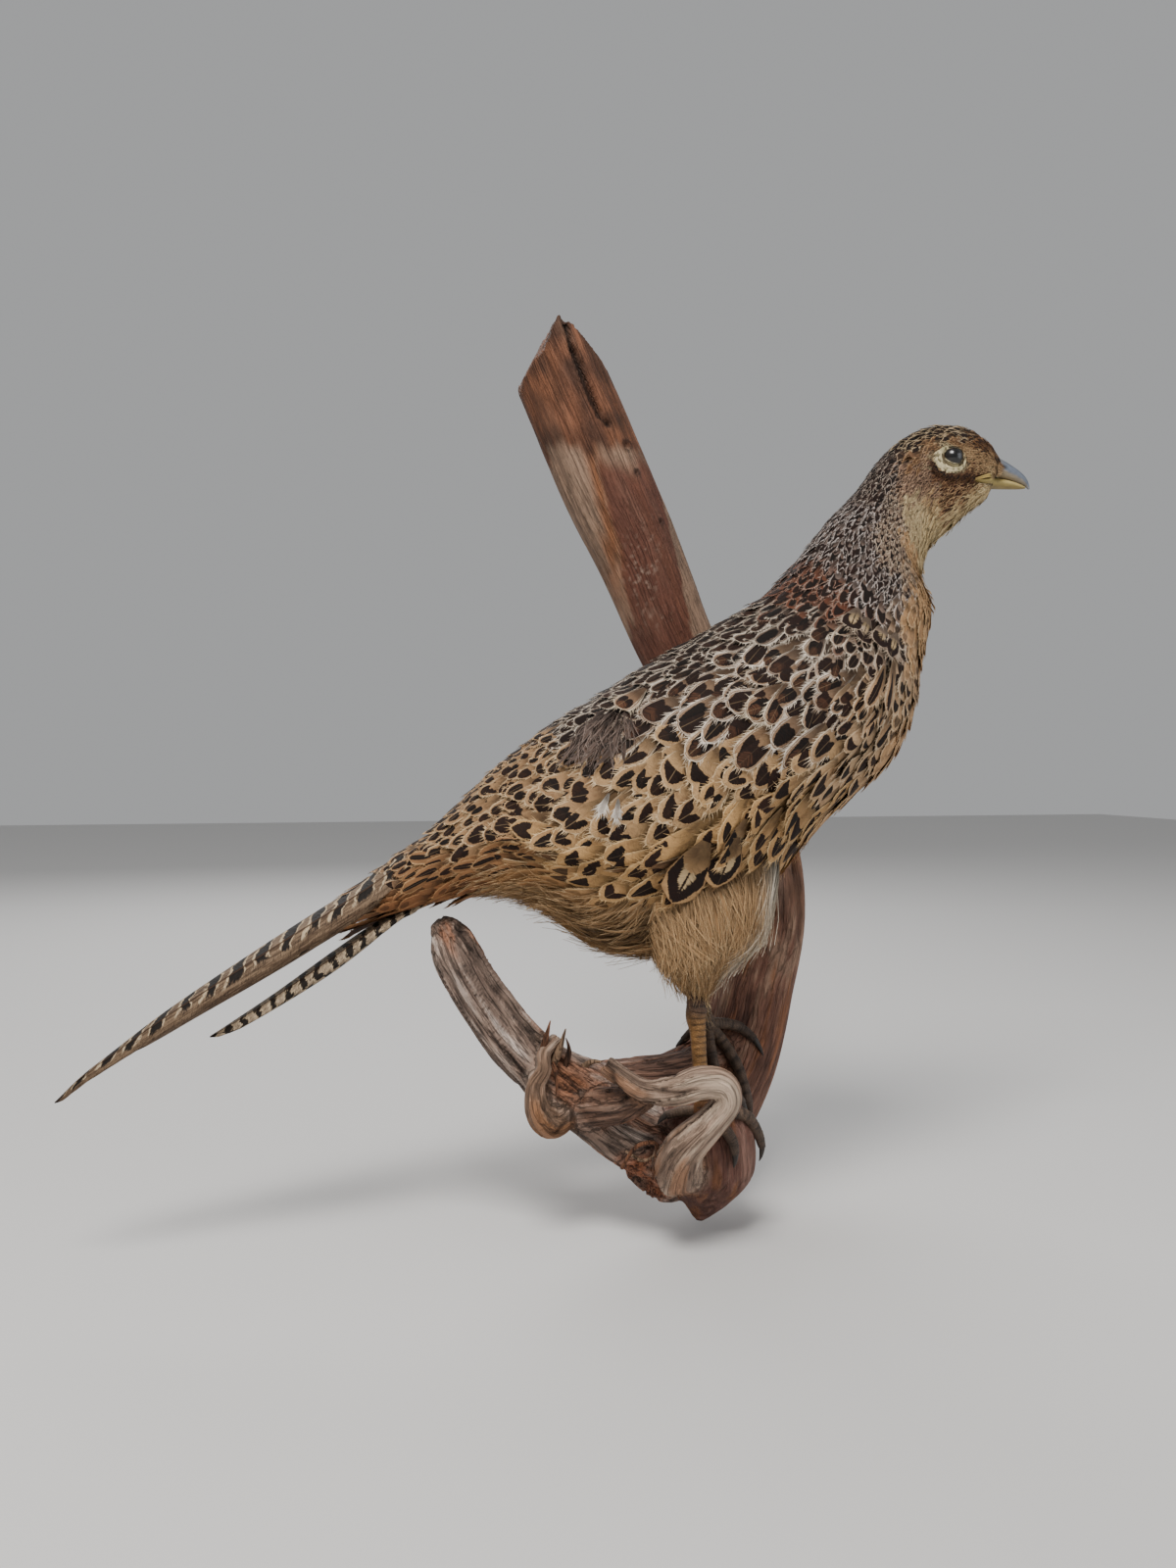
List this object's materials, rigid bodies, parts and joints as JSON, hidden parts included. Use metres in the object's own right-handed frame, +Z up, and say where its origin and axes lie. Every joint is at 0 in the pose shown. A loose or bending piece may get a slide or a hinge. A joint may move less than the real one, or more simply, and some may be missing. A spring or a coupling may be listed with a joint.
{
  "type": "taxidermy hen pheasant on driftwood",
  "caption": "Mounted hen pheasant standing on a bent piece of driftwood that hangs flat against a wall, head raised, long tail sloping down.",
  "frame": {"origin": "centre of the flat planed on the back of the driftwood's stem, where it meets the wall", "axes": "+X towards the bird's head along the wall, +Y out of the wood into the wall, +Z up"},
  "size_m": [0.479, 0.1759, 0.4711],
  "materials": {
    "plumage": "matte feathers, buff with dark brown marks",
    "flight_feathers": "satin vanes, brown with black and cream bars",
    "bill_horn": "satin horn",
    "eye_glass": "glossy",
    "leg_skin": "dry scaled skin",
    "driftwood": "weathered, matte"
  },
  "bodies": {
    "root": {"head": "plumage", "neck": "plumage", "trunk": "plumage", "rump": "plumage", "tail_upper": "flight_feathers", "tail_lower": "flight_feathers", "wing_right": "plumage", "wing_left": "plumage", "thigh_right": "plumage", "thigh_left": "plumage", "bill_upper": "bill_horn", "bill_lower": "bill_horn", "eye_right": "eye_glass", "eye_left": "eye_glass", "tarsus_right": "leg_skin", "tarsus_left": "leg_skin", "foot_right": "leg_skin", "foot_left": "leg_skin", "driftwood": "driftwood"}
  },
  "joints": []
}
